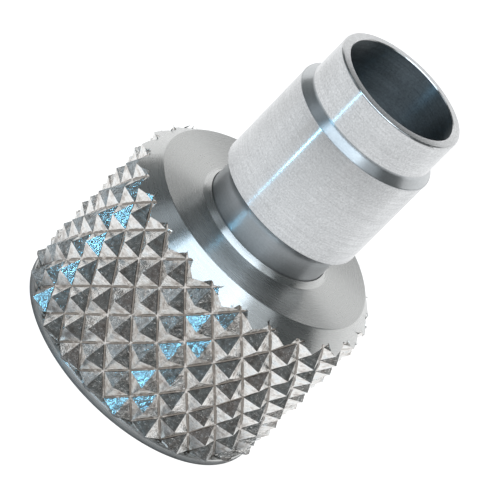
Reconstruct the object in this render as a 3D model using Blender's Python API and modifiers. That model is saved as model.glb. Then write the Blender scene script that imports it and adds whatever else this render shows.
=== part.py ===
"""Hand-tightened union coupling, stainless steel, standing on the rim of its nut.

A knurled union nut is held captive on a stepped hollow spigot. Inside the nut a slip washer,
a thrust collar and a wire retaining ring sit on the spigot's stem, and an O-ring seals the
stem's pilot. The nut spins on the spigot and floats along the spigot's neck.

Frame: +Z runs along the axis from the nut's rim to the spigot's tip, and the origin is the
centre of the rim.
"""
import math

import bmesh
import bpy

MM = 0.001

# Clearances
RUN_CLEARANCE = 0.10 * MM       # radial, where the nut turns on the neck
SEAT_GAP = 0.25 * MM            # between pieces that rest on each other
PASS_CLEARANCE = 0.25 * MM      # radial, for pieces that go in through the thread

# Thread in the nut
THREAD_RADIUS = 8.0 * MM        # major radius
THREAD_DEPTH = 0.81 * MM
THREAD_PITCH = 1.5 * MM
THREAD_TURNS = 4
THREAD_CREST = 0.12             # half of a crest's flat, as a share of the pitch
RELIEF_DEPTH = 0.1 * MM         # mouth and run-out, beyond the major radius

# Union nut
NUT_HEIGHT = 14.0 * MM
NUT_WALL = 1.75 * MM            # thread's major radius to the knurl's grooves
NUT_ROOF = 2.2 * MM
NUT_SHOULDER = 1.5 * MM         # 45 degree shoulder, measured in from the knurl's crests
RIM_BAND = 0.6 * MM             # plain band below the knurl
RIM_SETBACK = 0.39 * MM         # band's surface below the crests
RIM_STEP = 0.1 * MM             # height of the bevel from band to knurl
RIM_CHAMFER = 0.1 * MM
LIP_LAND = 0.05 * MM            # flat top of the raised lip round the hole in the top face
LIP_HEIGHT = 0.4 * MM           # its outer side falls at 45 degrees

# Knurl: raised four-sided pyramids in rows that are offset by half a pitch
KNURL_COUNT = 24                # pyramids round the nut
KNURL_DEPTH = 0.75 * MM
KNURL_ROW = 1.55 * MM           # wanted height of a row, half of a pyramid's length
KNURL_PHASE = math.radians(1.3)

# Spigot, from the nut's top face upwards
NECK_HEIGHT = 2.95 * MM         # nut's top face to the body's lower edge
NECK_DEPTH = 0.71 * MM          # neck's surface below the body's
NECK_FLARE = 0.85 * MM          # height of the concave flare under the body
BODY_RADIUS = 5.73 * MM
BODY_HEIGHT = 8.05 * MM
NOSE_STEP = 0.53 * MM           # nose's surface below the body's
NOSE_HEIGHT = 3.8 * MM          # conical step and nose together
STEP_ROOT = 0.32 * MM           # radius where the step's cone runs into the nose
STEP_SLOPE = 48.0               # degrees from the root's first point to its last
STEP_RISE = 0.72 * MM           # height of the cone and its root together
SOCKET_WALL = 0.7 * MM          # wall round the bore at the tip
SOCKET_DEPTH = 7.0 * MM
STEM_WALL = 1.72 * MM           # wall round the bore through neck and stem
TIP_CHAMFER = 0.12 * MM
STEM_CHAMFER = 0.4 * MM

# Pieces on the stem
WASHER_THICKNESS = 0.6 * MM
COLLAR_HEIGHT = 2.0 * MM
COLLAR_CHAMFER = 0.25 * MM
RING_WIRE = 1.0 * MM            # diameter of the retaining ring's wire
RING_GROOVE_DEPTH = 0.5 * MM
RING_OPENING = math.radians(50.0)
STEM_LAND = 1.0 * MM            # plain stem above and below the O-ring's groove
O_RING_SECTION = 1.5 * MM
O_RING_GROOVE_DEPTH = 1.1 * MM

# Facets
ROUND_STEPS = 72
RING_STEPS = 48
O_RING_SIDES = 12
ARC_STEPS = 5

# Radii that follow from the sizes above
THREAD_MINOR = THREAD_RADIUS - THREAD_DEPTH
THREAD_RELIEF = THREAD_RADIUS + RELIEF_DEPTH
KNURL_ROOT = THREAD_RADIUS + NUT_WALL
NUT_RADIUS = KNURL_ROOT + KNURL_DEPTH
NUT_FACE_RADIUS = NUT_RADIUS - NUT_SHOULDER
RIM_RADIUS = NUT_RADIUS - RIM_SETBACK
NECK_RADIUS = BODY_RADIUS - NECK_DEPTH
NOSE_RADIUS = BODY_RADIUS - NOSE_STEP
SOCKET_RADIUS = NOSE_RADIUS - SOCKET_WALL
PASSAGE_RADIUS = NECK_RADIUS - STEM_WALL
HOLE_RADIUS = NECK_RADIUS + RUN_CLEARANCE
SEAT_RADIUS = NECK_RADIUS + SEAT_GAP
LOOSE_RADIUS = THREAD_MINOR - PASS_CLEARANCE

# Heights that follow from the sizes above
LIP_TOP = NUT_HEIGHT + LIP_HEIGHT
BODY_FOOT = NUT_HEIGHT + NECK_HEIGHT
NECK_TOP = BODY_FOOT - NECK_FLARE
BODY_TOP = BODY_FOOT + BODY_HEIGHT
TIP = BODY_TOP + NOSE_HEIGHT
ROOF_UNDERSIDE = NUT_HEIGHT - NUT_ROOF
WASHER_TOP = ROOF_UNDERSIDE - SEAT_GAP
WASHER_FOOT = WASHER_TOP - WASHER_THICKNESS
COLLAR_TOP = WASHER_FOOT - SEAT_GAP
COLLAR_FOOT = COLLAR_TOP - COLLAR_HEIGHT
RING_HALF = RING_WIRE / 2 + SEAT_GAP
RING_CENTRE = COLLAR_FOOT - RING_HALF
O_RING_HALF = O_RING_SECTION / 2 + SEAT_GAP
O_RING_CENTRE = RING_CENTRE - RING_HALF - STEM_LAND - O_RING_HALF
STEM_FOOT = O_RING_CENTRE - O_RING_HALF - STEM_LAND


def clear_scene():
    for thing in list(bpy.data.objects):
        bpy.data.objects.remove(thing, do_unlink=True)


def metal(name, colour, roughness):
    material = bpy.data.materials.new(name)
    material.use_nodes = True
    shader = material.node_tree.nodes["Principled BSDF"]
    shader.inputs["Base Color"].default_value = (*colour, 1.0)
    shader.inputs["Metallic"].default_value = 1.0
    shader.inputs["Roughness"].default_value = roughness
    return material


def rubber(name, colour, roughness):
    material = metal(name, colour, roughness)
    material.node_tree.nodes["Principled BSDF"].inputs["Metallic"].default_value = 0.0
    return material


def arc(centre_r, centre_z, radius, start_deg, end_deg, steps=ARC_STEPS):
    """Points (r, z) along an arc, both ends included."""
    points = []
    for step in range(steps + 1):
        angle = math.radians(start_deg + (end_deg - start_deg) * step / steps)
        points.append((centre_r + radius * math.cos(angle), centre_z + radius * math.sin(angle)))
    return points


def turned(name, profile, steps, parts, material):
    """A closed (r, z) profile, down its outer side and up its inner side, turned round Z."""
    mesh = bpy.data.meshes.new(name)
    corners = [(radius, 0.0, height) for radius, height in profile]
    edges = [(index, (index + 1) % len(corners)) for index in range(len(corners))]
    mesh.from_pydata(corners, edges, [])
    thing = bpy.data.objects.new(name, mesh)
    parts.objects.link(thing)
    screw = thing.modifiers.new("turn", "SCREW")
    screw.axis = "Z"
    screw.angle = math.tau
    screw.steps = steps
    screw.render_steps = steps
    screw.use_smooth_shade = True
    mesh.materials.append(material)
    return thing


def made_mesh(thing):
    """Replace an object's data with its evaluated mesh and drop its modifiers."""
    bpy.context.view_layer.update()
    evaluated = thing.evaluated_get(bpy.context.evaluated_depsgraph_get())
    mesh = bpy.data.meshes.new_from_object(evaluated)
    thing.modifiers.clear()
    thing.data = mesh
    return mesh


def thread_profile():
    """The nut's bore from the rim upwards: mouth, V grooves at the pitch, and run-out."""
    points = [(THREAD_RELIEF, 0.0), (THREAD_MINOR, THREAD_RELIEF - THREAD_MINOR)]
    start = points[-1][1]
    for turn in range(THREAD_TURNS):
        foot = start + turn * THREAD_PITCH
        points.append((THREAD_MINOR, foot + THREAD_CREST * THREAD_PITCH))
        points.append((THREAD_RADIUS, foot + THREAD_PITCH / 2))
        points.append((THREAD_MINOR, foot + (1 - THREAD_CREST) * THREAD_PITCH))
    run_out = start + THREAD_TURNS * THREAD_PITCH
    points.append((THREAD_MINOR, run_out))
    points.append((THREAD_RELIEF, run_out + THREAD_RELIEF - THREAD_MINOR))
    points.append((THREAD_RELIEF, ROOF_UNDERSIDE))
    return points


def knurl_rows():
    """Heights of the knurl's grid lines, from the rim band to the shoulder."""
    top = NUT_HEIGHT - (KNURL_ROOT - NUT_FACE_RADIUS)
    count = max(2, round((top - RIM_BAND) / KNURL_ROW))
    return [RIM_BAND + (top - RIM_BAND) * row / count for row in range(count + 1)]


def cut_knurl(mesh, rows, columns):
    """Push every second corner of the barrel's grid out, and fold the grid along its grooves."""
    near = 0.02 * MM
    work = bmesh.new()
    work.from_mesh(mesh)
    grooves = set()
    crests = {}
    for corner in work.verts:
        row = min(range(len(rows)), key=lambda index: abs(rows[index] - corner.co.z))
        if abs(corner.co.xy.length - KNURL_ROOT) > near or abs(rows[row] - corner.co.z) > near:
            continue
        column = round(math.atan2(corner.co.y, corner.co.x) / math.tau * columns)
        if (row + column) % 2 == 0:
            grooves.add(corner)
        else:
            crests[corner] = row
    for face in list(work.faces):
        ends = [corner for corner in face.verts if corner in grooves]
        raised = [corner for corner in face.verts if corner in crests]
        if len(ends) == 2 and len(raised) == 2:
            bmesh.utils.face_split(face, ends[0], ends[1])
    for corner, row in crests.items():
        radius = NUT_RADIUS
        if row == 0:
            radius = RIM_RADIUS
        if row == len(rows) - 1:
            radius = KNURL_ROOT
        corner.co.xy *= radius / KNURL_ROOT
    work.to_mesh(mesh)
    work.free()
    mesh.update()


def make_union_nut(parts):
    """Knurled nut: shoulder, lip round the hole, roof, run-out and thread."""
    rows = knurl_rows()
    lip_radius = HOLE_RADIUS + LIP_LAND
    profile = [(lip_radius, LIP_TOP), (lip_radius + LIP_HEIGHT, NUT_HEIGHT)]
    profile.append((NUT_FACE_RADIUS, NUT_HEIGHT))
    profile += [(KNURL_ROOT, height) for height in reversed(rows)]
    profile.append((RIM_RADIUS, RIM_BAND - RIM_STEP))
    profile.append((RIM_RADIUS, RIM_CHAMFER))
    profile.append((RIM_RADIUS - RIM_CHAMFER, 0.0))
    profile += thread_profile()
    profile.append((HOLE_RADIUS, ROOF_UNDERSIDE))
    profile.append((HOLE_RADIUS, LIP_TOP))
    steel = metal("turned_steel_nut", (0.62, 0.61, 0.60), 0.30)
    columns = 2 * KNURL_COUNT
    nut = turned("union_nut", profile, columns, parts, steel)
    mesh = made_mesh(nut)
    cut_knurl(mesh, rows, columns)
    mesh.set_sharp_from_angle(angle=math.radians(25))
    nut.rotation_euler.z = KNURL_PHASE
    return nut


def make_spigot(parts):
    """Stepped hollow spigot: nose, body, neck, stem with two grooves, and a stepped bore."""
    bend = (NECK_FLARE ** 2 + NECK_DEPTH ** 2) / (2 * NECK_DEPTH)
    sweep = math.degrees(math.atan2(NECK_FLARE, bend - NECK_DEPTH))
    ring_floor = NECK_RADIUS - RING_GROOVE_DEPTH
    seal_floor = NECK_RADIUS - O_RING_GROOVE_DEPTH
    socket_foot = TIP - SOCKET_DEPTH
    profile = [(NOSE_RADIUS - TIP_CHAMFER, TIP), (NOSE_RADIUS, TIP - TIP_CHAMFER)]
    profile += arc(NOSE_RADIUS + STEP_ROOT, BODY_TOP + STEP_RISE, STEP_ROOT, 180, 180 + STEP_SLOPE)
    profile += [(BODY_RADIUS, BODY_TOP), (BODY_RADIUS, BODY_FOOT)]
    profile += arc(NECK_RADIUS + bend, NECK_TOP, bend, 180 - sweep, 180)[1:]
    for centre, half, floor in (
        (RING_CENTRE, RING_HALF, ring_floor),
        (O_RING_CENTRE, O_RING_HALF, seal_floor),
    ):
        profile += [(NECK_RADIUS, centre + half), (floor, centre + half)]
        profile += [(floor, centre - half), (NECK_RADIUS, centre - half)]
    profile += [(NECK_RADIUS, STEM_FOOT + STEM_CHAMFER), (NECK_RADIUS - STEM_CHAMFER, STEM_FOOT)]
    profile.append((PASSAGE_RADIUS, STEM_FOOT))
    profile.append((PASSAGE_RADIUS, socket_foot - (SOCKET_RADIUS - PASSAGE_RADIUS)))
    profile.append((SOCKET_RADIUS, socket_foot))
    profile.append((SOCKET_RADIUS, TIP - TIP_CHAMFER))
    profile.append((SOCKET_RADIUS + TIP_CHAMFER, TIP))
    steel = metal("turned_steel_spigot", (0.66, 0.65, 0.64), 0.35)
    return turned("spigot", profile, ROUND_STEPS, parts, steel)


def make_slip_washer(parts):
    """Flat bronze ring between the nut's roof and the thrust collar."""
    profile = [(LOOSE_RADIUS, WASHER_TOP), (LOOSE_RADIUS, WASHER_FOOT)]
    profile += [(SEAT_RADIUS, WASHER_FOOT), (SEAT_RADIUS, WASHER_TOP)]
    bronze = metal("bronze_washer", (0.60, 0.38, 0.18), 0.35)
    return turned("slip_washer", profile, ROUND_STEPS, parts, bronze)


def make_thrust_collar(parts):
    """Steel ring that carries the nut's pull down to the retaining ring."""
    chamfered = LOOSE_RADIUS - COLLAR_CHAMFER
    profile = [(chamfered, COLLAR_TOP), (LOOSE_RADIUS, COLLAR_TOP - COLLAR_CHAMFER)]
    profile += [(LOOSE_RADIUS, COLLAR_FOOT + COLLAR_CHAMFER), (chamfered, COLLAR_FOOT)]
    profile += [(SEAT_RADIUS, COLLAR_FOOT), (SEAT_RADIUS, COLLAR_TOP)]
    steel = metal("turned_steel_collar", (0.60, 0.60, 0.60), 0.30)
    return turned("thrust_collar", profile, ROUND_STEPS, parts, steel)


def make_retaining_ring(parts):
    """Open ring of round spring wire, seated in the stem's upper groove."""
    bend = NECK_RADIUS - RING_GROOVE_DEPTH + SEAT_GAP + RING_WIRE / 2
    curve = bpy.data.curves.new("retaining_ring", "CURVE")
    curve.dimensions = "3D"
    curve.bevel_depth = RING_WIRE / 2
    curve.bevel_resolution = 2
    curve.use_fill_caps = True
    spline = curve.splines.new("POLY")
    spline.points.add(RING_STEPS)
    for index, point in enumerate(spline.points):
        angle = RING_OPENING / 2 + (math.tau - RING_OPENING) * index / RING_STEPS
        point.co = (bend * math.cos(angle), bend * math.sin(angle), 0.0, 1.0)
    ring = bpy.data.objects.new("retaining_ring", curve)
    ring.location.z = RING_CENTRE
    parts.objects.link(ring)
    curve.materials.append(metal("spring_wire", (0.30, 0.30, 0.32), 0.30))
    return ring


def make_stem_o_ring(parts):
    """Rubber O-ring in the stem's lower groove, which seals the pilot in its mating bore."""
    centre = NECK_RADIUS - O_RING_GROOVE_DEPTH + SEAT_GAP + O_RING_SECTION / 2
    profile = arc(centre, O_RING_CENTRE, O_RING_SECTION / 2, 90, -270, O_RING_SIDES)[:-1]
    black = rubber("black_rubber", (0.02, 0.02, 0.02), 0.55)
    return turned("stem_o_ring", profile, RING_STEPS, parts, black)


def main():
    clear_scene()
    parts = bpy.data.collections.new("union_coupling")
    bpy.context.scene.collection.children.link(parts)
    swivel = bpy.data.objects.new("swivel_axis", None)
    swivel.location.z = NUT_HEIGHT
    parts.objects.link(swivel)
    make_union_nut(parts)
    held = [make_spigot(parts), make_slip_washer(parts), make_thrust_collar(parts)]
    held += [make_retaining_ring(parts), make_stem_o_ring(parts)]
    bpy.context.view_layer.update()
    for thing in held:
        thing.parent = swivel
        thing.matrix_parent_inverse = swivel.matrix_world.inverted()


main()
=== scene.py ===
# %% [markdown]
# # A knurled union coupling, piece by piece
# The object is a small stainless steel coupling: a knurled nut that is held captive on a
# stepped, hollow spigot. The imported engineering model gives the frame, with every piece in its
# place. This script models each piece again with the detail that a lathe and a knurling wheel
# leave behind, gives it a finish, and lights it as a small object is lit for a catalogue.

# %% Load the frame
import math
import random

import bmesh
import bpy
from mathutils import Matrix, Vector


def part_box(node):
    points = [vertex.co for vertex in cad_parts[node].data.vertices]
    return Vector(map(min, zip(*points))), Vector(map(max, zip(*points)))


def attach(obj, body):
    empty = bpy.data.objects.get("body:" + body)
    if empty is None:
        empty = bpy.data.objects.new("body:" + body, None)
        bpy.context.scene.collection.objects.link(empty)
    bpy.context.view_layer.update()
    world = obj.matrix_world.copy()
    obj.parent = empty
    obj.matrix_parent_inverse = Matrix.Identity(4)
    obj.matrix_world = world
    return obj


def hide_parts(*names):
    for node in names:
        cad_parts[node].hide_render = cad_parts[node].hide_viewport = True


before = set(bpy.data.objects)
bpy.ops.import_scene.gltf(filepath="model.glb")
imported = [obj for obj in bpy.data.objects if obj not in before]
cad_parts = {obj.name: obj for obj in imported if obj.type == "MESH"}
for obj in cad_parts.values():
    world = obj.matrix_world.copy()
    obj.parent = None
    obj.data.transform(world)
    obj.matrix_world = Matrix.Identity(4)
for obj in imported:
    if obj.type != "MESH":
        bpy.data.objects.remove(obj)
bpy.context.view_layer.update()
MM = 0.001

# %% [markdown]
# Every piece is turned about the Z axis, so four numbers place it: its smallest and largest
# radius, and its foot and top. They are measured on the engineering model, and nothing else
# fixes where a piece goes.


# %% Measure the frame
def reach(node):
    """Smallest radius, largest radius, foot and top of an engineering node."""
    low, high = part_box(node)
    radii = [corner.co.xy.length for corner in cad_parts[node].data.vertices]
    return min(radii), max(radii), low.z, high.z


_, NUT_RADIUS, NUT_FOOT, LIP_TOP = reach("union_nut")
PASSAGE_RADIUS, BODY_RADIUS, STEM_FOOT, TIP = reach("spigot")
print("nut", NUT_RADIUS / MM, LIP_TOP / MM, "spigot", BODY_RADIUS / MM, TIP / MM)

# %% [markdown]
# ## Colours and nodes
# A colour is written as the hex value that a paint program shows. The shader wants linear
# light, so one function turns the first into the second. One more adds a node, with its
# settings and the links that feed it, because every material below is made of nodes.


# %% Colour and node helpers
def colour(hex_code):
    """An sRGB hex colour as linear RGBA."""
    parts = [int(hex_code[place:place + 2], 16) / 255 for place in (1, 3, 5)]
    linear = [part / 12.92 if part <= 0.04045 else ((part + 0.055) / 1.055) ** 2.4 for part in parts]
    return (*linear, 1.0)


def add_node(tree, kind, settings=None, links=None):
    """Add a node, set its properties and sockets, and link the sockets that others feed."""
    node = tree.nodes.new(kind)
    for name, value in (settings or {}).items():
        if isinstance(name, str) and hasattr(node, name):
            setattr(node, name, value)
        else:
            node.inputs[name].default_value = value
    for name, source in (links or {}).items():
        tree.links.new(source, node.inputs[name])
    return node


def new_material(name):
    """A material with an empty node tree and its output node."""
    material = bpy.data.materials.new(name)
    material.use_nodes = True
    material.node_tree.nodes.clear()
    output = add_node(material.node_tree, "ShaderNodeOutputMaterial")
    return material, material.node_tree, output


def ramp(tree, source, stops):
    """A colour ramp from (place, hex colour) stops."""
    node = add_node(tree, "ShaderNodeValToRGB", links={"Fac": source})
    band = node.color_ramp
    while len(band.elements) < len(stops):
        band.elements.new(0.5)
    for element, (place, hex_code) in zip(band.elements, stops):
        element.position = place
        element.color = colour(hex_code)
    return node.outputs["Color"]


# %% [markdown]
# ## Turned stainless steel
# A lathe tool leaves fine grooves that run round the piece. They spread a reflection along
# the axis and keep it narrow round the axis, which is why turned steel shows a thin bright
# line along a cylinder and dark fans on a flat face. The shader's anisotropy does that, with
# a tangent that runs round Z. The grooves of a real cut are about 0.05 mm apart, too fine to
# show at this size, so they are drawn near 0.1 mm. A speckle in the colour stands for the
# grain that the tool tears open, and broad clouds for handling.
#
# The nut has the brightest cut. The spigot's is a fine satin. The step and the waist were
# made with a form tool, which chatters and leaves a duller skin, and the bore is the roughest,
# because a boring bar is the least stiff tool. The bore's steel also has a darker colour,
# which is painted shade inside the hole.


# %% Turned steel
GROOVE_WIDTH = 0.10 * MM
GRAIN_WIDTH = 0.13 * MM
CLOUD_WIDTH = 2.5 * MM
FACE_STRETCH = 1.7              # grooves are closer on a face than on a cylinder
STREAK = (0.02, 0.02, 0.02)     # how little the grooves change round the piece


def turned_steel(name, hex_code, roughness, anisotropy, mark_height, speckle):
    """Lathe-turned stainless steel, with its grooves running round Z."""
    material, tree, output = new_material(name)
    place = add_node(tree, "ShaderNodeTexCoord").outputs["Object"]
    parts = add_node(tree, "ShaderNodeSeparateXYZ", links={0: place})
    flat = add_node(tree, "ShaderNodeCombineXYZ",
                    links={"X": parts.outputs["X"], "Y": parts.outputs["Y"]})
    radius = add_node(tree, "ShaderNodeVectorMath", {"operation": "LENGTH"},
                      {0: flat.outputs[0]}).outputs["Value"]
    # One distance that grows along a cylinder, a face and a shoulder alike.
    along = add_node(tree, "ShaderNodeMath", {"operation": "MULTIPLY_ADD", 1: FACE_STRETCH},
                     {0: radius, 2: parts.outputs["Z"]}).outputs[0]
    groove_place = add_node(tree, "ShaderNodeCombineXYZ", links={"Z": along})
    stretched = add_node(tree, "ShaderNodeVectorMath", {"operation": "MULTIPLY_ADD", 1: STREAK},
                         {0: flat.outputs[0], 2: groove_place.outputs[0]}).outputs[0]
    grooves = add_node(tree, "ShaderNodeTexNoise",
                       {"Scale": 1 / GROOVE_WIDTH, "Detail": 3.0, "Roughness": 0.65},
                       {"Vector": stretched}).outputs["Fac"]
    grain = add_node(tree, "ShaderNodeTexNoise",
                     {"Scale": 1 / GRAIN_WIDTH, "Detail": 3.0, "Roughness": 0.75},
                     {"Vector": place}).outputs["Fac"]
    clouds = add_node(tree, "ShaderNodeTexNoise",
                      {"Scale": 1 / CLOUD_WIDTH, "Detail": 3.0}, {"Vector": place}).outputs["Fac"]
    marks = add_node(tree, "ShaderNodeMath", {"operation": "MULTIPLY_ADD", 1: 0.6},
                     {0: grooves, 2: grain}).outputs[0]
    mottled = add_node(tree, "ShaderNodeMath", {"operation": "MULTIPLY_ADD", 1: 0.3},
                       {0: clouds, 2: marks}).outputs[0]
    shade = add_node(tree, "ShaderNodeMapRange",
                     {"From Min": 0.70, "From Max": 1.20, "To Min": 1.0 - speckle,
                      "To Max": 1.0 + speckle}, {"Value": mottled}).outputs[0]
    tinted = add_node(tree, "ShaderNodeMix",
                      {"data_type": "RGBA", "blend_type": "MULTIPLY", 0: 1.0, 6: colour(hex_code)},
                      {7: shade}).outputs[2]
    rough = add_node(tree, "ShaderNodeMapRange",
                     {"From Min": 0.3, "From Max": 0.7, "To Min": roughness * 0.92,
                      "To Max": roughness * 1.10}, {"Value": grooves}).outputs[0]
    bump = add_node(tree, "ShaderNodeBump", {"Strength": 1.0, "Distance": mark_height},
                    {"Height": grooves}).outputs["Normal"]
    worn = add_node(tree, "ShaderNodeBump", {"Strength": 1.0, "Distance": mark_height * 0.8},
                    {"Height": grain, "Normal": bump}).outputs["Normal"]
    tangent = add_node(tree, "ShaderNodeTangent", {"direction_type": "RADIAL", "axis": "Z"})
    shader = add_node(tree, "ShaderNodeBsdfPrincipled",
                      {"Metallic": 1.0, "Anisotropic": anisotropy, "Anisotropic Rotation": 0.25},
                      {"Base Color": tinted, "Roughness": rough, "Normal": worn,
                       "Tangent": tangent.outputs[0]})
    tree.links.new(shader.outputs[0], output.inputs["Surface"])
    return material


NUT_STEEL = turned_steel("turned_stainless_bright", "#BABBBA", 0.27, 0.95, 0.0002 * MM, 0.04)
SPIGOT_STEEL = turned_steel("turned_stainless_satin", "#C4C5C6", 0.19, 1.0, 0.0008 * MM, 0.22)
# The bore's rough finish is real. Its darker colour is painted shade inside the hole.
BORE_STEEL_PAINTED_SHADE = turned_steel("bored_stainless_dull_painted_shade", "#99A0A4", 0.38, 0.9, 0.006 * MM, 0.30)
FORM_STEEL = turned_steel("form_turned_stainless", "#B4B7B9", 0.33, 0.9, 0.0006 * MM, 0.12)
print("turned steels", [steel.name for steel in (NUT_STEEL, SPIGOT_STEEL, BORE_STEEL_PAINTED_SHADE, FORM_STEEL)])

# %% [markdown]
# ## Knurled stainless steel
# A knurling wheel presses the pyramids up out of the metal instead of cutting them. Pressed
# metal smears, so the facets are a little rough, and scaly at a tenth of a millimetre. The
# scales turn the reflection this way and that, which gives the sparkle.


# %% Knurled steel
KNURL_DEPTH = 0.75 * MM
SCALE_WIDTH = 0.24 * MM                     # drawn about twice as wide as the real scales
DENT_WIDTH = 0.55 * MM
GROOVE_DARK_DEPTH = 0.12 * MM
GROOVE_DARK_BELOW = -0.56             # in these depths over the groove's floor: fully darker colour
GROOVE_DARK_ABOVE = -0.42             # and here the steel has its own colour again
DENT_HEIGHT = 0.025 * MM
SCALE_HEIGHT = 0.022 * MM


def knurled_steel(name, hex_code):
    """Pressed stainless steel: scaly facets, a slight stain, and darker groove floors."""
    material, tree, output = new_material(name)
    place = add_node(tree, "ShaderNodeTexCoord").outputs["Object"]
    parts = add_node(tree, "ShaderNodeSeparateXYZ", links={0: place})
    flat = add_node(tree, "ShaderNodeCombineXYZ",
                    links={"X": parts.outputs["X"], "Y": parts.outputs["Y"]})
    radius = add_node(tree, "ShaderNodeVectorMath", {"operation": "LENGTH"},
                      {0: flat.outputs[0]}).outputs["Value"]
    scales = add_node(tree, "ShaderNodeTexNoise",
                      {"Scale": 1 / SCALE_WIDTH, "Detail": 2.0, "Roughness": 0.7, "Distortion": 0.4},
                      {"Vector": place}).outputs["Fac"]
    dents = add_node(tree, "ShaderNodeTexNoise",
                     {"Scale": 1 / DENT_WIDTH, "Detail": 2.0}, {"Vector": place}).outputs["Fac"]
    stain = ramp(tree, dents, [(0.30, "#B4AEA9"), (0.5, hex_code), (0.72, "#D6D9DA")])
    # How far a point lies above the groove's floor, pushed up and down by the dents.
    lifted = add_node(tree, "ShaderNodeMath", {"operation": "MULTIPLY_ADD", 1: -GROOVE_DARK_DEPTH},
                      {0: dents, 2: radius}).outputs[0]
    out_of_groove = add_node(tree, "ShaderNodeMapRange",
                     {"From Min": NUT_RADIUS - KNURL_DEPTH + GROOVE_DARK_BELOW * GROOVE_DARK_DEPTH,
                      "From Max": NUT_RADIUS - KNURL_DEPTH + GROOVE_DARK_ABOVE * GROOVE_DARK_DEPTH,
                      "To Min": 0.0, "To Max": 1.0}, {"Value": lifted}).outputs[0]
    # The groove floors get a darker colour than the facets.
    groove_darkened = add_node(tree, "ShaderNodeMix", {"data_type": "RGBA", 6: colour("#7C7670")},
                     {0: out_of_groove, 7: stain}).outputs[2]
    shade = add_node(tree, "ShaderNodeMapRange",
                     {"From Min": 0.3, "From Max": 0.7, "To Min": 0.86, "To Max": 1.16},
                     {"Value": scales}).outputs[0]
    tone = add_node(tree, "ShaderNodeMix", {"data_type": "RGBA", "blend_type": "MULTIPLY", 0: 1.0},
                    {6: groove_darkened, 7: shade}).outputs[2]
    rough = add_node(tree, "ShaderNodeMapRange",
                     {"From Min": 0.3, "From Max": 0.7, "To Min": 0.12, "To Max": 0.28},
                     {"Value": scales}).outputs[0]
    broad = add_node(tree, "ShaderNodeBump", {"Strength": 1.0, "Distance": DENT_HEIGHT},
                     {"Height": dents}).outputs["Normal"]
    bump = add_node(tree, "ShaderNodeBump", {"Strength": 1.0, "Distance": SCALE_HEIGHT},
                    {"Height": scales, "Normal": broad}).outputs["Normal"]
    shader = add_node(tree, "ShaderNodeBsdfPrincipled", {"Metallic": 1.0},
                      {"Base Color": tone, "Roughness": rough, "Normal": bump})
    tree.links.new(shader.outputs[0], output.inputs["Surface"])
    return material


KNURL_STEEL = knurled_steel("knurled_stainless_pressed", "#DAD8D5")
print("knurled steel", KNURL_STEEL.name)

# %% [markdown]
# ## Bronze, spring wire and rubber
# These three are inside the nut and show only from below. Turned bronze takes the same finish
# in its own colour. Spring wire is drawn through a die, which leaves faint lines along it.
# Moulded rubber is black, dull, and very slightly uneven.

# %% Inner materials
BRONZE = turned_steel("turned_bronze", "#B98A52", 0.38, 0.7, 0.002 * MM, 0.08)
WIRE = turned_steel("drawn_spring_wire", "#7C7D82", 0.33, 0.5, 0.002 * MM, 0.08)


SKIN_WIDTH = 0.25 * MM


def moulded_rubber(name, hex_code):
    """Nitrile rubber from a mould: black, dull and slightly uneven."""
    material, tree, output = new_material(name)
    place = add_node(tree, "ShaderNodeTexCoord").outputs["Object"]
    skin = add_node(tree, "ShaderNodeTexNoise",
                    {"Scale": 1 / SKIN_WIDTH, "Detail": 3.0}, {"Vector": place}).outputs["Fac"]
    tone = ramp(tree, skin, [(0.3, hex_code), (0.7, "#26272A")])
    rough = add_node(tree, "ShaderNodeMapRange", {"To Min": 0.45, "To Max": 0.62},
                     {"Value": skin}).outputs[0]
    bump = add_node(tree, "ShaderNodeBump", {"Strength": 0.6, "Distance": 0.01 * MM},
                    {"Height": skin}).outputs["Normal"]
    shader = add_node(tree, "ShaderNodeBsdfPrincipled", {"Metallic": 0.0, "IOR": 1.52},
                      {"Base Color": tone, "Roughness": rough, "Normal": bump})
    tree.links.new(shader.outputs[0], output.inputs["Surface"])
    return material


RUBBER = moulded_rubber("moulded_nitrile_rubber", "#16171A")
print("inner materials", BRONZE.name, WIRE.name, RUBBER.name)

# %% [markdown]
# ## Turning a piece
# A lathe makes a shape from its half section, and so does this helper. It adds one ring of
# edges at the section's first point, then extrudes and scales the ring to each next point,
# until it comes back to where it began and the two ends are merged. Sections run down the
# outer side and up the inner side.

# %% Turning helpers
ROUND = 144                     # facets round a turned piece
MERGE = 0.0005 * MM             # corners closer than this are one corner
SMOOTH = math.radians(26)       # edges sharper than this stay sharp


def pick(kind, wanted):
    """In edit mode, select only the corners, edges or faces that pass a test."""
    bpy.ops.mesh.select_mode(type=kind)
    bpy.ops.mesh.select_all(action="DESELECT")
    data = bpy.context.object.data
    mesh = bmesh.from_edit_mesh(data)
    parts = {"VERT": mesh.verts, "EDGE": mesh.edges, "FACE": mesh.faces}[kind]
    chosen = [part for part in parts if wanted(part)]
    for part in chosen:
        part.select_set(True)
    mesh.select_flush_mode()
    bmesh.update_edit_mesh(data)
    return len(chosen)


def start_piece(name):
    """Name the primitive that was just added, put its place in its mesh, and open it."""
    piece = bpy.context.object
    piece.name = name
    piece.data.name = name
    bpy.ops.object.transform_apply(location=True, rotation=True, scale=True)
    bpy.ops.object.mode_set(mode="EDIT")
    bpy.ops.mesh.select_mode(type="VERT")
    bpy.ops.mesh.select_all(action="SELECT")
    return piece


def close_piece():
    """Merge doubles, point every face outwards, and leave edit mode."""
    bpy.ops.mesh.select_all(action="SELECT")
    bpy.ops.mesh.remove_doubles(threshold=MERGE)
    bpy.ops.mesh.normals_make_consistent(inside=False)
    bpy.ops.object.mode_set(mode="OBJECT")


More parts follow.
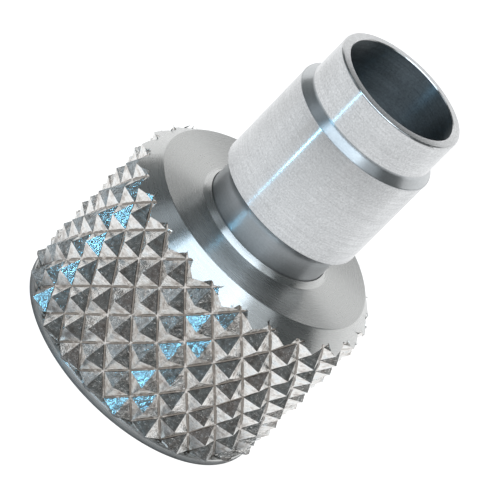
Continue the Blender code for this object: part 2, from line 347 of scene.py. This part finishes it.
def turn(name, section, material, facets=ROUND):
    """A closed (radius, height) section turned round Z."""
    bpy.ops.object.select_all(action="DESELECT")
    radius, height = section[0]
    bpy.ops.mesh.primitive_circle_add(vertices=facets, radius=radius, location=(0, 0, height))
    piece = start_piece(name)
    for next_radius, next_height in section[1:] + section[:1]:
        bpy.ops.mesh.extrude_region_move(
            TRANSFORM_OT_translate={"value": (0, 0, next_height - height)})
        ratio = next_radius / radius
        bpy.ops.transform.resize(value=(ratio, ratio, 1), center_override=(0, 0, 0))
        radius, height = next_radius, next_height
    close_piece()
    piece.data.materials.append(material)
    bpy.ops.object.shade_smooth_by_angle(angle=SMOOTH)
    return piece


def arc(centre_r, centre_z, radius, start, end, steps=8):
    """Section points along an arc, from one angle in degrees to another."""
    turns = [math.radians(start + (end - start) * step / steps) for step in range(steps + 1)]
    return [(centre_r + radius * math.cos(t), centre_z + radius * math.sin(t)) for t in turns]


def cut(piece, tool, operation):
    """Combine a piece with a tool by an exact Boolean, and remove the tool."""
    bpy.ops.object.select_all(action="DESELECT")
    bpy.context.view_layer.objects.active = piece
    piece.select_set(True)
    bpy.ops.object.modifier_add(type="BOOLEAN")
    boolean = piece.modifiers[-1]
    boolean.object = tool
    boolean.operation = operation
    boolean.solver = "EXACT"
    boolean.material_mode = "TRANSFER"
    bpy.ops.object.modifier_apply(modifier=boolean.name)
    bpy.data.objects.remove(tool)


def faces_of(piece):
    """How many triangles a piece has."""
    return sum(len(face.vertices) - 2 for face in piece.data.polygons)


# %% [markdown]
# ## The spigot
# From the tip down: a thin nose with a bore, a cone that runs out of the nose through a small
# radius and widens it to the plain body, a waist that the nut turns on, and below the nut's
# roof the stem with a groove for the retaining ring and one for the O-ring. Real edges are
# never razor sharp, so each outside corner has a tiny break that catches the light.

# %% Spigot
WAIST_DEPTH = 0.71 * MM                     # how far the waist lies inside the body
NECK_RADIUS = BODY_RADIUS - WAIST_DEPTH
NOSE_RADIUS = BODY_RADIUS - 0.53 * MM
NOSE_WALL = 0.70 * MM
SOCKET_RADIUS = NOSE_RADIUS - NOSE_WALL
LIP_HEIGHT = 0.40 * MM
NUT_TOP = LIP_TOP - LIP_HEIGHT              # the nut's flat face, under its raised lip
BODY_FOOT = NUT_TOP + 2.95 * MM
BODY_TOP = BODY_FOOT + 8.05 * MM
FLARE = 0.85 * MM                           # height of the waist's concave flare
STEP_HEIGHT = 0.72 * MM                     # height of the cone below the nose
STEP_ROOT = 0.32 * MM                       # radius where the cone runs into the nose
STEP_SLOPE = 48                             # degrees between the cone and the axis
EDGE = 0.06 * MM                            # break on an outside corner
TIP_ROUND = 0.14 * MM                       # radius of the tip's outer corner
TIP_FALL = 4                                # degrees that the end face falls away outwards
SOCKET_FOOT = TIP - 7.0 * MM
SOCKET_END = 0.6                            # steepness of the drill point below the socket
RING_GROOVE = 0.5 * MM                      # depths of the stem's two grooves
SEAL_GROOVE = 1.1 * MM
STEM_CHAMFER = 0.4 * MM


def groove_section(centre, half, floor):
    """A square groove in the stem, with broken corners."""
    return [(NECK_RADIUS, centre + half + EDGE), (NECK_RADIUS - EDGE, centre + half),
            (floor + EDGE, centre + half), (floor, centre + half - EDGE),
            (floor, centre - half + EDGE), (floor + EDGE, centre - half),
            (NECK_RADIUS - EDGE, centre - half), (NECK_RADIUS, centre - half - EDGE)]


RING_LOW, RING_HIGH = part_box("retaining_ring")
SEAL_LOW, SEAL_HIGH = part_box("stem_o_ring")
RING_CENTRE = (RING_LOW.z + RING_HIGH.z) / 2
SEAL_CENTRE = (SEAL_LOW.z + SEAL_HIGH.z) / 2
ROOM = 0.25 * MM                            # side room in each groove
RING_HALF = (RING_HIGH.z - RING_LOW.z) / 2 + ROOM
SEAL_HALF = (SEAL_HIGH.z - SEAL_LOW.z) / 2 + ROOM

bend = (FLARE ** 2 + WAIST_DEPTH ** 2) / (2 * WAIST_DEPTH)
sweep = math.degrees(math.atan2(FLARE, bend - WAIST_DEPTH))
fall = math.radians(TIP_FALL)
corner_r = NOSE_RADIUS - TIP_ROUND + TIP_ROUND * math.sin(fall)
corner_drop = (corner_r - SOCKET_RADIUS - EDGE) * math.tan(fall)
corner_z = TIP - corner_drop - TIP_ROUND * math.cos(fall)
spigot_section = [(SOCKET_RADIUS + EDGE, TIP)]
spigot_section += arc(NOSE_RADIUS - TIP_ROUND, corner_z, TIP_ROUND, 90 - TIP_FALL, 0, 8)
spigot_section += arc(NOSE_RADIUS + STEP_ROOT, BODY_TOP + STEP_HEIGHT, STEP_ROOT,
                      180, 180 + STEP_SLOPE, 5)
spigot_section += [(BODY_RADIUS - EDGE, BODY_TOP)]
spigot_section += [(BODY_RADIUS - 0.3 * EDGE, BODY_TOP - 0.3 * EDGE)]
spigot_section += [(BODY_RADIUS, BODY_TOP - EDGE)]
spigot_section += [(BODY_RADIUS, BODY_FOOT + EDGE), (BODY_RADIUS - EDGE, BODY_FOOT)]
spigot_section += arc(NECK_RADIUS + bend, BODY_FOOT - FLARE, bend, 180 - sweep * 0.92, 180, 8)
spigot_section += groove_section(RING_CENTRE, RING_HALF, NECK_RADIUS - RING_GROOVE)
spigot_section += groove_section(SEAL_CENTRE, SEAL_HALF, NECK_RADIUS - SEAL_GROOVE)
spigot_section += [(NECK_RADIUS, STEM_FOOT + STEM_CHAMFER), (NECK_RADIUS - STEM_CHAMFER, STEM_FOOT)]
spigot_section += [(PASSAGE_RADIUS + EDGE, STEM_FOOT), (PASSAGE_RADIUS, STEM_FOOT + EDGE)]
spigot_section += [(PASSAGE_RADIUS, SOCKET_FOOT - (SOCKET_RADIUS - PASSAGE_RADIUS) * SOCKET_END)]
spigot_section += [(SOCKET_RADIUS, SOCKET_FOOT), (SOCKET_RADIUS, TIP - EDGE)]
spigot = turn("spigot_turned", spigot_section, SPIGOT_STEEL)
# The bore takes the darker steel with the painted shade.
spigot.data.materials.append(BORE_STEEL_PAINTED_SHADE)
spigot.data.materials.append(FORM_STEEL)
for face in spigot.data.polygons:
    in_bore = face.center.xy.length < SOCKET_RADIUS * 1.005
    on_step = BODY_TOP - EDGE < face.center.z < BODY_TOP + STEP_HEIGHT
    below_body = face.center.z < BODY_FOOT
    if in_bore:
        face.material_index = 1
    elif on_step or below_body:
        face.material_index = 2
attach(spigot, "spigot")
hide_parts("spigot")
print("spigot", faces_of(spigot), "triangles")

# %% [markdown]
# ## The knurl
# The barrel starts as a 24-sided cylinder with level rows. Poking each face puts a corner in
# its middle, and dissolving the old grid lines joins the triangles in pairs, which leaves a
# skin of diamonds, each half a row up from its neighbours. Every diamond is inset a little,
# and that frame becomes the floor of the grooves. A second poke lifts the middle of each
# diamond into a pyramid.

# %% Knurled barrel
KNURL_COUNT = 24
GROOVE_RADIUS = NUT_RADIUS - KNURL_DEPTH
HALF_ROW = 1.513 * MM                       # half of a pyramid's length along the axis
CROSSING = NUT_TOP - 7.12 * MM              # height of one row of groove crossings
KNURL_TURN = math.radians(1.3)
RIM_BAND = 0.62 * MM                        # height of the plain band below the knurl
HALF_COLUMN = math.pi / KNURL_COUNT
ROWS = 6                                    # half rows on each side of the crossing

barrel_foot = CROSSING - ROWS * HALF_ROW
barrel_height = 2 * ROWS * HALF_ROW
bpy.ops.object.select_all(action="DESELECT")
bpy.ops.mesh.primitive_cylinder_add(
    vertices=KNURL_COUNT, radius=GROOVE_RADIUS, depth=barrel_height,
    location=(0, 0, barrel_foot + barrel_height / 2), rotation=(0, 0, KNURL_TURN))
nut = start_piece("union_nut_knurled")
upright = pick("EDGE", lambda edge: abs(edge.verts[0].co.z - edge.verts[1].co.z) > MM)
bpy.ops.mesh.subdivide(number_cuts=ROWS - 1)
side = pick("FACE", lambda face: abs(face.normal.z) < 0.5)
bpy.ops.mesh.poke()
# Poked corners lie on the flats between the barrel's edges, so they are pushed out to its radius.
middles = pick("VERT", lambda corner: MM < corner.co.xy.length < GROOVE_RADIUS * 0.998)
stretch = 1 / math.cos(HALF_COLUMN)
bpy.ops.transform.resize(value=(stretch, stretch, 1), center_override=(0, 0, 0))


def is_grid_line(edge):
    """A level or upright edge that isn't on the rim of an end face."""
    first, last = (corner.co for corner in edge.verts)
    on_end = any(abs(face.normal.z) > 0.9 for face in edge.link_faces)
    level = abs(first.z - last.z) < 0.01 * MM
    upright = (first.xy - last.xy).length < 0.01 * MM
    return (level or upright) and not on_end


lines = pick("EDGE", is_grid_line)
bpy.ops.mesh.dissolve_edges(use_verts=False)
print("barrel", upright, "uprights", side, "side faces", middles, "middles", lines, "grid lines")

# %% Pyramids
GROOVE_FLOOR = 0.06 * MM                    # half of the groove's flat floor
PEAK_EXTRA = 0.02 * MM                      # makes up for the crests that the chance takes off
PEAK_PLAY = 0.05 * MM                       # how far a peak may stray from its place
diamonds = pick("FACE", lambda face: abs(face.normal.z) < 0.5)
bpy.ops.mesh.inset(thickness=GROOVE_FLOOR, depth=0, use_individual=True)
bpy.ops.mesh.poke(offset=KNURL_DEPTH + PEAK_EXTRA, use_relative_offset=False)
peaks = pick("VERT", lambda corner: corner.co.xy.length > NUT_RADIUS - 0.3 * MM)
bpy.ops.transform.vertex_random(offset=PEAK_PLAY, uniform=1.0, normal=0.0, seed=11)
facets = pick("FACE", lambda face: abs(face.normal.z) < 0.9)
bpy.ops.mesh.subdivide(number_cuts=2, fractal=0.10, fractal_along_normal=0.8, seed=5)
print(diamonds, "diamonds", peaks, "peaks", facets, "facets")

# %% Ends of the barrel
bpy.ops.mesh.select_all(action="SELECT")
bpy.ops.mesh.bisect(plane_co=(0, 0, NUT_FOOT + RIM_BAND), plane_no=(0, 0, 1),
                    clear_inner=True, use_fill=True, threshold=MERGE)
close_piece()
nut.data.materials.append(KNURL_STEEL)
print("knurled barrel", faces_of(nut), "triangles")

# %% [markdown]
# ## The nut's blank
# The rim band below the knurl, the 45 degree shoulder above it, the flat face, the raised lip
# with its sloping side and the whole bore are turned. Joining the band to the barrel and then
# keeping only what lies inside the turned blank cuts the top row of pyramids off along the
# shoulder, as the lathe tool does.

# %% Rim band and blank
RIM_RADIUS = NUT_RADIUS - 0.39 * MM
FACE_RADIUS = NUT_RADIUS - 1.50 * MM
HOLE_RADIUS = NECK_RADIUS + 0.04 * MM
THREAD_RADIUS = 8.0 * MM                    # an M16 thread of 1.5 mm pitch
THREAD_MINOR = 7.19 * MM
THREAD_PITCH = 1.5 * MM
THREAD_TOP = 6.91 * MM
RELIEF_RADIUS = 8.1 * MM
ROOF = NUT_TOP - 2.2 * MM                   # underside of the nut's roof
OUTSIDE = NUT_RADIUS + 0.3 * MM             # clear of the highest peak
OVERLAP = 0.03 * MM                         # how far the band reaches into the barrel

band_top = RIM_BAND + OVERLAP
band_section = [(MM, band_top), (RIM_RADIUS - EDGE, band_top)]
band_section += [(RIM_RADIUS, RIM_BAND - EDGE), (RIM_RADIUS, NUT_FOOT - MM), (MM, NUT_FOOT - MM)]
cut(nut, turn("rim_band", band_section, NUT_STEEL), "UNION")

LIP_EDGE = 0.05 * MM                        # flat top of the lip
LIP_BREAK = (0.02 * MM, 0.012 * MM)         # break between that top and the lip's slope
LIP_BLEND = 0.12 * MM                       # radius where the lip runs into the face
CORNER = 0.14 * MM                          # radius between the face and the shoulder
TANGENT = math.tan(math.radians(22.5))      # an arc that joins a flat and a 45 degree slope
RIM_BREAK = ((0.01 * MM, 0.26 * MM), (-0.03 * MM, 0.10 * MM), (-0.09 * MM, 0.0))
HOLE_BREAK = (0.03 * MM, 0.04 * MM)

lip_side = HOLE_RADIUS + LIP_EDGE
lip_foot = lip_side + LIP_HEIGHT
thread_lead = RELIEF_RADIUS - THREAD_MINOR
blank_section = [(lip_side - 0.01 * MM, LIP_TOP), (lip_side + LIP_BREAK[0], LIP_TOP - LIP_BREAK[1])]
blank_section += arc(lip_foot + TANGENT * LIP_BLEND, NUT_TOP + LIP_BLEND, LIP_BLEND, 225, 268, 4)
blank_section += arc(FACE_RADIUS - TANGENT * CORNER, NUT_TOP - CORNER, CORNER, 90, 45, 4)
blank_section += [(OUTSIDE, NUT_TOP - (OUTSIDE - FACE_RADIUS)), (OUTSIDE, NUT_FOOT + RIM_BAND + 0.01 * MM)]
blank_section += [(RIM_RADIUS + outward, NUT_FOOT + up) for outward, up in RIM_BREAK]
blank_section += [(RELIEF_RADIUS, NUT_FOOT)]
blank_section += [(THREAD_MINOR, thread_lead), (THREAD_MINOR, THREAD_TOP)]
blank_section += [(RELIEF_RADIUS, THREAD_TOP + thread_lead)]
blank_section += [(RELIEF_RADIUS, ROOF - EDGE), (RELIEF_RADIUS - EDGE, ROOF), (HOLE_RADIUS, ROOF)]
blank_section += [(HOLE_RADIUS, LIP_TOP - HOLE_BREAK[1]), (HOLE_RADIUS + HOLE_BREAK[0], LIP_TOP)]
cut(nut, turn("blank", blank_section, NUT_STEEL), "INTERSECT")
print("nut after blanking", faces_of(nut), "triangles")

# %% [markdown]
# ## The thread
# A metric thread is a 60 degree V that winds up the bore. A ring of three corners is exactly
# that V. The Screw modifier winds it round the axis, and the result is cut from the nut.

# %% Thread
V_REACH = 0.6 * MM                          # the V's middle to its point
THREAD_START = -0.6 * MM                    # the thread starts below the rim, so it runs out of it
THREAD_TURNS = 5
TURN_STEPS = 72
bpy.ops.object.select_all(action="DESELECT")
bpy.ops.mesh.primitive_circle_add(
    vertices=3, radius=V_REACH, location=(THREAD_RADIUS - V_REACH, 0, THREAD_START),
    rotation=(math.radians(90), math.radians(90), 0))
tool = start_piece("thread_tool")
bpy.ops.object.mode_set(mode="OBJECT")
print("thread V", [[round(value / MM, 3) for value in corner.co] for corner in tool.data.vertices])
bpy.ops.object.modifier_add(type="SCREW")
screw = tool.modifiers[-1]
screw.axis = "Z"
screw.screw_offset = THREAD_PITCH
screw.iterations = THREAD_TURNS
screw.steps = TURN_STEPS
screw.render_steps = TURN_STEPS
bpy.ops.object.modifier_apply(modifier=screw.name)
bpy.ops.object.mode_set(mode="EDIT")
bpy.ops.mesh.select_all(action="SELECT")
bpy.ops.mesh.fill_holes(sides=3)
close_piece()
tool.data.materials.append(NUT_STEEL)
cut(nut, tool, "DIFFERENCE")
print("threaded nut", faces_of(nut), "triangles")

# %% [markdown]
# ## Burrs
# Where the shoulder cuts through the knurl, the lathe tool tears the pressed metal and leaves
# small hooked burrs. One burr is modelled, a thin curved horn with five sides. Copies of it are
# set along the torn edge, each turned and sized by chance, and joined to the nut.

# %% Burrs
BURR_COUNT = 110
BURR_RADIUS = 0.055 * MM
BURR_STEP = 0.11 * MM                       # length of each of its four stretches
BURR_BEND = math.radians(16)                # and how far each turns from the last
BURR_ROOT = 0.04 * MM                       # how far a burr is sunk into the nut
TORN_FOOT = NUT_TOP - 3 * MM                # below this the knurl is whole

mesh = bmesh.new()
mesh.from_mesh(nut.data)
torn = [(edge.verts[0].co + edge.verts[1].co) / 2 for edge in mesh.edges
        if len({face.material_index for face in edge.link_faces}) == 2]
torn = [place for place in torn if place.z > TORN_FOOT]
mesh.free()
print("torn places", len(torn))

bpy.ops.object.select_all(action="DESELECT")
bpy.ops.mesh.primitive_circle_add(vertices=5, radius=BURR_RADIUS, fill_type="NGON")
burr = start_piece("burr")
for taper in (0.9, 0.75, 0.6, 0.3):
    bpy.ops.mesh.extrude_region_move(
        TRANSFORM_OT_translate={"value": (0, 0.3 * BURR_STEP, BURR_STEP)})
    bpy.ops.transform.resize(value=(taper, taper, taper))
    bpy.ops.transform.rotate(value=BURR_BEND, orient_axis="X", center_override=(0, 0, 0))
close_piece()
burr.data.materials.append(KNURL_STEEL)
print("burr", faces_of(burr), "triangles", [round(size / MM, 2) for size in burr.dimensions])

# %% Set the burrs
chance = random.Random(7)
for place in chance.choices(torn, k=BURR_COUNT):
    bpy.ops.object.select_all(action="DESELECT")
    bpy.context.view_layer.objects.active = burr
    burr.select_set(True)
    bpy.ops.object.duplicate(linked=False)
    copy = bpy.context.object
    out = Vector((place.x, place.y, 0)).normalized()
    along = Vector((-out.y, out.x, 0)) * chance.choice((-1, 1))
    way = along + out * chance.uniform(-0.1, 0.5) + Vector((0, 0, chance.uniform(-0.3, 0.5)))
    twist = Matrix.Rotation(chance.uniform(0, math.tau), 4, "Z")
    size = chance.uniform(0.35, 1.1)
    copy.matrix_world = (Matrix.Translation(place - way.normalized() * BURR_ROOT)
                         @ way.to_track_quat("Z", "Y").to_matrix().to_4x4()
                         @ twist @ Matrix.Scale(size, 4))
    bpy.ops.object.transform_apply(location=True, rotation=True, scale=True)
    nut.select_set(True)
    bpy.context.view_layer.objects.active = nut
    bpy.ops.object.join()
bpy.data.objects.remove(burr)
bpy.ops.object.shade_smooth_by_angle(angle=SMOOTH)
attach(nut, "nut")
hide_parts("union_nut")
print("nut", faces_of(nut), "triangles", [slot.name for slot in nut.material_slots])

# %% [markdown]
# ## Washer and collar
# The bronze slip washer lets the nut turn while it pulls, and the steel collar below it passes
# the pull on to the retaining ring. Both are plain rings with broken corners.


# %% Rings
def plain_ring(name, node, material, body, edge):
    """A turned ring with broken corners, as large as its engineering node."""
    inner, outer, foot, top = reach(node)
    section = [(inner + edge, top), (outer - edge, top), (outer, top - edge), (outer, foot + edge)]
    section += [(outer - edge, foot), (inner + edge, foot), (inner, foot + edge), (inner, top - edge)]
    ring = turn(name, section, material)
    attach(ring, body)
    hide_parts(node)
    print(name, faces_of(ring), "triangles")


COLLAR_EDGE = 0.2 * MM
plain_ring("slip_washer_turned", "slip_washer", BRONZE, "washer", EDGE)
plain_ring("thrust_collar_turned", "thrust_collar", SPIGOT_STEEL, "spigot", COLLAR_EDGE)

# %% [markdown]
# ## Retaining ring
# An open ring of round spring wire. A small circle stands on edge at the ring's radius and
# the spin operator sweeps it round, short of a full turn, so that the gap is left open. The
# two ends are filled and given a small bevel, as a cropped and tumbled wire has.

# %% Retaining ring
WIRE_OPENING = math.radians(50)
WIRE_SIDES = 20
END_BREAK = (0.1 * MM, 0.08 * MM)           # width and height of the break on a cropped end
wire_outer = reach("retaining_ring")[1]
wire_radius = (RING_HIGH.z - RING_LOW.z) / 2
wire_bend = wire_outer - wire_radius
bpy.ops.object.select_all(action="DESELECT")
bpy.ops.mesh.primitive_circle_add(
    vertices=WIRE_SIDES, radius=wire_radius, location=(wire_bend, 0, RING_CENTRE),
    rotation=(math.radians(90), 0, 0))
retaining = start_piece("retaining_ring_wire")
bpy.ops.transform.rotate(value=-WIRE_OPENING / 2, orient_axis="Z", center_override=(0, 0, 0))
bpy.ops.mesh.spin(steps=96, angle=math.tau - WIRE_OPENING, center=(0, 0, 0), axis=(0, 0, 1))
bpy.ops.mesh.select_all(action="SELECT")
bpy.ops.mesh.fill_holes(sides=WIRE_SIDES)
ends = pick("FACE", lambda face: len(face.verts) == WIRE_SIDES)
bpy.ops.mesh.inset(thickness=END_BREAK[0], depth=END_BREAK[1])
close_piece()
retaining.data.materials.append(WIRE)
bpy.ops.object.shade_smooth_by_angle(angle=SMOOTH)
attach(retaining, "spigot")
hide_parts("retaining_ring")
print("retaining ring", ends, "ends", faces_of(retaining), "triangles",
      [round(value / MM, 2) for value in retaining.dimensions])

# %% [markdown]
# ## O-ring
# A torus with a thin raised line round its outside and inside, where the two halves of the
# mould met.

# %% O-ring
FLASH = 0.015 * MM                          # height of the mould line
SEAL_SIDES = 28
seal_inner, seal_outer, seal_foot, seal_top = reach("stem_o_ring")
seal_radius = (seal_top - seal_foot) / 2
seal_middle = (seal_inner + seal_outer) / 2
seal_section = arc(seal_middle, SEAL_CENTRE, seal_radius, 90, -270, SEAL_SIDES)[:-1]
for side_point, lift in ((SEAL_SIDES // 4, FLASH), (3 * SEAL_SIDES // 4, -FLASH)):
    radius, height = seal_section[side_point]
    seal_section[side_point] = (radius + lift, height)
seal = turn("stem_o_ring_moulded", seal_section, RUBBER)
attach(seal, "spigot")
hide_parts("stem_o_ring")
print("o-ring", faces_of(seal), "triangles")

# %% [markdown]
# ## Floor
# Small metal parts are often shot on a light table: a sheet of white acrylic, lit from below,
# that leaves no shadow. Steel takes its colour from what it reflects, so this white floor is
# what makes the sides of the part bright. Close to its foot the table's glow is painted
# darker, a painted shadow of the part, and the steel there reflects that painted shade as a
# thin dark rim.

# %% Floor
FLOOR_SIZE = 3.0
FLOOR_GAP = 0.02 * MM
SHADE_START = -0.5 * MM                     # from here, measured from the nut's side,
SHADE_REACH = 2.1 * MM                      # to here the table brightens from the shade
SHADE_DARK = 0.04
bpy.ops.object.select_all(action="DESELECT")
bpy.ops.mesh.primitive_plane_add(size=FLOOR_SIZE, location=(0, 0, NUT_FOOT - FLOOR_GAP))
floor = start_piece("light_table")
bpy.ops.mesh.subdivide(number_cuts=1)
bpy.ops.object.mode_set(mode="OBJECT")
acrylic, acrylic_tree, acrylic_output = new_material("lit_white_acrylic")
floor_place = add_node(acrylic_tree, "ShaderNodeTexCoord").outputs["Object"]
floor_radius = add_node(acrylic_tree, "ShaderNodeVectorMath", {"operation": "LENGTH"},
                        {0: floor_place}).outputs["Value"]
# Painted shadow: the table's glow is dimmed near the nut's foot for every ray but the camera's.
lit = add_node(acrylic_tree, "ShaderNodeMapRange",
               {"interpolation_type": "SMOOTHSTEP", "From Min": NUT_RADIUS + SHADE_START,
                "From Max": NUT_RADIUS + SHADE_REACH, "To Min": SHADE_DARK, "To Max": 1.0},
               {"Value": floor_radius}).outputs[0]
floor_seen = add_node(acrylic_tree, "ShaderNodeLightPath").outputs["Is Camera Ray"]
glow = add_node(acrylic_tree, "ShaderNodeMath", {"operation": "MAXIMUM"},
                {0: lit, 1: floor_seen}).outputs[0]
acrylic_shader = add_node(
    acrylic_tree, "ShaderNodeBsdfPrincipled",
    {"Base Color": colour("#808080"), "Roughness": 0.6, "Emission Color": colour("#FFFFFF")},
    {"Emission Strength": glow})
acrylic_tree.links.new(acrylic_shader.outputs[0], acrylic_output.inputs["Surface"])
floor.data.materials.append(acrylic)
print("floor", floor.dimensions[:])

# %% [markdown]
# ## Light
# Turned steel shows the room. A soft light high in front gives the shoulder its white sweep.
# A curved wall of white paper behind gives the flat face its grey and burns out the far edges,
# and the spigot, reflected in the face, cuts a dark fan into it. Small softboxes at the sides
# lift the facets, and one narrow cold strip close by on the left draws the thin line along the
# spigot and the sparkle in the knurl. What no light fills stays dark, and that gives the
# facets their depth.

# %% Lights
CENTRE = Vector((0, 0, NUT_TOP))
FAR = 260 * MM
NEAR = 90 * MM
WALL_RADIUS = 0.8
WALL_HEIGHT = 0.55
WALL_FADE = 0.15                            # the paper dims from this height up
WALL_START = math.radians(16)
WALL_END = math.radians(142)


def in_wall(place):
    """Whether a point lies in the part of the circle where the wall stands."""
    return WALL_START < math.atan2(place.y, place.x) < WALL_END


def softbox(name, azimuth, elevation, size, brightness, hex_code, distance=FAR):
    """An area light aimed at the part, with its place given by two angles in degrees."""
    bpy.ops.object.select_all(action="DESELECT")
    turn_angle, rise = math.radians(azimuth), math.radians(elevation)
    way = Vector((math.cos(turn_angle) * math.cos(rise), math.sin(turn_angle) * math.cos(rise),
                  math.sin(rise)))
    bpy.ops.object.light_add(type="AREA", location=CENTRE + way * distance)
    lamp = bpy.context.object
    lamp.name = name
    lamp.rotation_euler = way.to_track_quat("Z", "Y").to_euler()
    lamp.data.shape = "RECTANGLE"
    lamp.data.size, lamp.data.size_y = size
    lamp.data.energy = brightness * math.pi * size[0] * size[1]
    lamp.data.color = colour(hex_code)[:3]
    lamp.visible_camera = False
    return lamp


softbox("front_top", -98, 63, (0.24, 0.16), 3.6, "#E4F3FF")
softbox("front_side", -38, 55, (0.13, 0.13), 1.20, "#E8F0F6")
softbox("front_left", -168, 47, (0.09, 0.09), 0.90, "#D6E2EC")
softbox("left_fill", -168, 14, (0.16, 0.10), 0.55, "#CBD9E4")
softbox("cold_strip", -128.4, 14, (0.0010, 0.070), 36.0, "#7CCBF3", distance=NEAR)
softbox("warm_low", -66, 14, (0.07, 0.10), 0.18, "#8A6050")
softbox("warm_right", 0, 12, (0.12, 0.08), 0.36, "#AEABA8")
softbox("rear_left", 158, 25, (0.08, 0.07), 0.22, "#D6DEE2")

bpy.ops.object.select_all(action="DESELECT")
bpy.ops.mesh.primitive_cylinder_add(vertices=72, radius=WALL_RADIUS, depth=WALL_HEIGHT,
                                    end_fill_type="NOTHING", location=(0, 0, WALL_HEIGHT / 2))
wall = start_piece("back_wall")
pick("FACE", lambda face: not in_wall(face.calc_center_median()))
bpy.ops.mesh.delete(type="FACE")
bpy.ops.object.mode_set(mode="OBJECT")
paper, paper_tree, paper_output = new_material("white_paper_sweep")
wall_place = add_node(paper_tree, "ShaderNodeTexCoord").outputs["Object"]
wall_up = add_node(paper_tree, "ShaderNodeSeparateXYZ", links={0: wall_place}).outputs["Z"]
wall_glow = add_node(paper_tree, "ShaderNodeMapRange",
                     {"From Min": WALL_FADE, "From Max": WALL_HEIGHT, "To Min": 0.92, "To Max": 0.55},
                     {"Value": wall_up}).outputs[0]
paper_shader = add_node(
    paper_tree, "ShaderNodeBsdfPrincipled",
    {"Base Color": colour("#C8C8C8"), "Roughness": 0.9, "Emission Color": colour("#FFFFFF")},
    {"Emission Strength": wall_glow})
paper_tree.links.new(paper_shader.outputs[0], paper_output.inputs["Surface"])
wall.data.materials.append(paper)

# The rest of the room is dim, but the camera sees it as white as the table.
world = bpy.data.worlds.new("studio")
bpy.context.scene.world = world
world.use_nodes = True
world.node_tree.nodes.clear()
dim = add_node(world.node_tree, "ShaderNodeBackground",
               {"Color": colour("#565A5B"), "Strength": 1.25})
white = add_node(world.node_tree, "ShaderNodeBackground",
                 {"Color": colour("#FFFFFF"), "Strength": 1.0})
seen = add_node(world.node_tree, "ShaderNodeLightPath").outputs["Is Camera Ray"]
either = add_node(world.node_tree, "ShaderNodeMixShader",
                  links={0: seen, 1: dim.outputs[0], 2: white.outputs[0]})
add_node(world.node_tree, "ShaderNodeOutputWorld", links={"Surface": either.outputs[0]})

# %% [markdown]
# ## Camera
# A long lens looks down on the part and is rolled, so that the part's axis leans to the
# right across a square frame.

# %% Camera
LOOK_DOWN = math.radians(27.30)
ROLL = math.radians(44.63)
DISTANCE = 269.3 * MM
LENS = 277.9                                # millimetres, on a 36 mm sensor
AIM = Vector((0.284 * MM, 0, 11.92 * MM))
bpy.ops.object.select_all(action="DESELECT")
bpy.ops.object.camera_add()
camera = bpy.context.object
camera.name = "long_lens"
camera.data.sensor_width = 36
camera.data.lens = LENS
camera.data.clip_start = 0.01
camera.data.clip_end = 20
turned_up = Matrix.Rotation(math.radians(90) - LOOK_DOWN, 4, "X") @ Matrix.Rotation(ROLL, 4, "Z")
back = Vector((0, -math.cos(LOOK_DOWN), math.sin(LOOK_DOWN)))
camera.matrix_world = Matrix.Translation(AIM + back * DISTANCE) @ turned_up
bpy.context.scene.camera = camera
bpy.context.scene.view_settings.view_transform = "Standard"
print("camera", [round(value / MM, 2) for value in camera.location])
